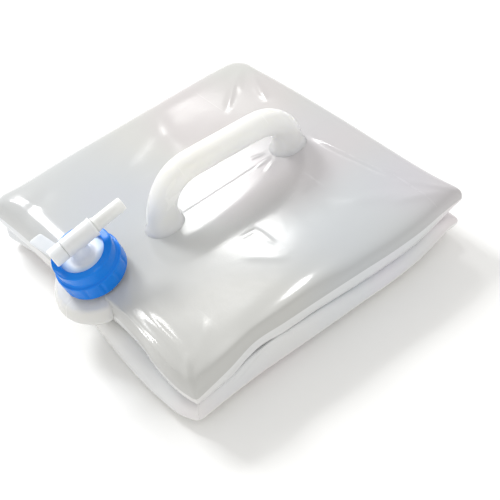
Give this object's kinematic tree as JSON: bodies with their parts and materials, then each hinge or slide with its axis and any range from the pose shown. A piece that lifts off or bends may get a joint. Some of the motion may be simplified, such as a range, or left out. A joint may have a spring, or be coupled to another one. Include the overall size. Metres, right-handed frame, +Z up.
{
  "type": "collapsible water carrier",
  "caption": "Folding water carrier of soft milky plastic with gusseted sides, an arched carry handle and a tap held on a tilted neck by a blue screw ring, lying folded flat.",
  "frame": {"origin": "on the ground under the middle of the folded bag", "axes": "+Z up, -Y towards the side with the tap, the carry handle runs along Y"},
  "size_m": [0.235, 0.2549, 0.098],
  "materials": {
    "film": "milky see-through soft polyethylene with a waxy satin surface",
    "ring_blue": "smooth gloss",
    "gasket": "matt",
    "tap_natural": "pale translucent, satin"
  },
  "bodies": {
    "base": {"bottom_panel": "film"},
    "front_low": {"front_gusset_lower": "film"},
    "front_high": {"front_gusset_upper": "film"},
    "top": {"top_panel": "film", "carry_handle": "film"},
    "back_low": {"back_gusset_lower": "film"},
    "left_low": {"left_gusset_lower": "film"},
    "right_low": {"right_gusset_lower": "film"},
    "back_high": {"back_gusset_upper": "film"},
    "left_high": {"left_gusset_upper": "film"},
    "right_high": {"right_gusset_upper": "film"},
    "seal": {"tap_gasket": "gasket"},
    "ring": {"cap_ring": "ring_blue"},
    "tap": {"tap_body": "tap_natural"},
    "plug": {"tap_plug": "tap_natural"}
  },
  "joints": [
    {"name": "unfold", "type": "hinge", "parent": "base", "child": "front_low", "pos_m": [0, -0.1135, 0.016], "axis": [1, 0, 0], "range_deg": [0, 84.85]},
    {"name": "front_crease", "type": "hinge", "parent": "front_low", "child": "front_high", "pos_m": [0, -0.01352, 0.025], "axis": [1, 0, 0], "range_deg": [-169.71, 0]},
    {"name": "top_rise", "type": "hinge", "parent": "front_high", "child": "top", "pos_m": [0, -0.1135, 0.034], "axis": [1, 0, 0], "range_deg": [0, 84.86]},
    {"name": "back_low_fold", "type": "hinge", "parent": "base", "child": "back_low", "pos_m": [0, 0.1135, 0.016], "axis": [-1, 0, 0], "range_deg": [0, 84.86]},
    {"name": "left_low_fold", "type": "hinge", "parent": "base", "child": "left_low", "pos_m": [-0.1135, 0, 0.016], "axis": [0, -1, 0], "range_deg": [0, 84.86]},
    {"name": "right_low_fold", "type": "hinge", "parent": "base", "child": "right_low", "pos_m": [0.1135, 0, 0.016], "axis": [0, 1, 0], "range_deg": [0, 84.86]},
    {"name": "back_high_fold", "type": "hinge", "parent": "top", "child": "back_high", "pos_m": [0, 0.1135, 0.034], "axis": [1, 0, 0], "range_deg": [0, 84.86]},
    {"name": "left_high_fold", "type": "hinge", "parent": "top", "child": "left_high", "pos_m": [-0.1135, 0, 0.034], "axis": [0, 1, 0], "range_deg": [0, 84.86]},
    {"name": "right_high_fold", "type": "hinge", "parent": "top", "child": "right_high", "pos_m": [0.1135, 0, 0.034], "axis": [0, -1, 0], "range_deg": [0, 84.86]},
    {"name": "tap_lift", "type": "slide", "parent": "top", "child": "seal", "axis": [0, -0.2588, 0.9659], "range_m": [0, 0.045]},
    {"name": "ring_turn", "type": "hinge", "parent": "seal", "child": "ring", "pos_m": [0, -0.1072, 0.051], "axis": [0, -0.2588, 0.9659], "range_deg": [0, 540]},
    {"name": "tap_swivel", "type": "hinge", "parent": "seal", "child": "tap", "pos_m": [0, -0.1072, 0.051], "axis": [0, -0.2588, 0.9659], "continuous": true},
    {"name": "lever_turn", "type": "hinge", "parent": "tap", "child": "plug", "pos_m": [0, -0.11579, 0.08307], "axis": [0.0976, 0.9613, 0.2576], "range_deg": [0, 90]}
  ],
  "couplings": [
    {"joint": "front_crease", "follows": "unfold", "ratio": -2},
    {"joint": "top_rise", "follows": "unfold", "ratio": 1},
    {"joint": "back_low_fold", "follows": "unfold", "ratio": 1},
    {"joint": "left_low_fold", "follows": "unfold", "ratio": 1},
    {"joint": "right_low_fold", "follows": "unfold", "ratio": 1},
    {"joint": "back_high_fold", "follows": "unfold", "ratio": 1},
    {"joint": "left_high_fold", "follows": "unfold", "ratio": 1},
    {"joint": "right_high_fold", "follows": "unfold", "ratio": 1}
  ]
}
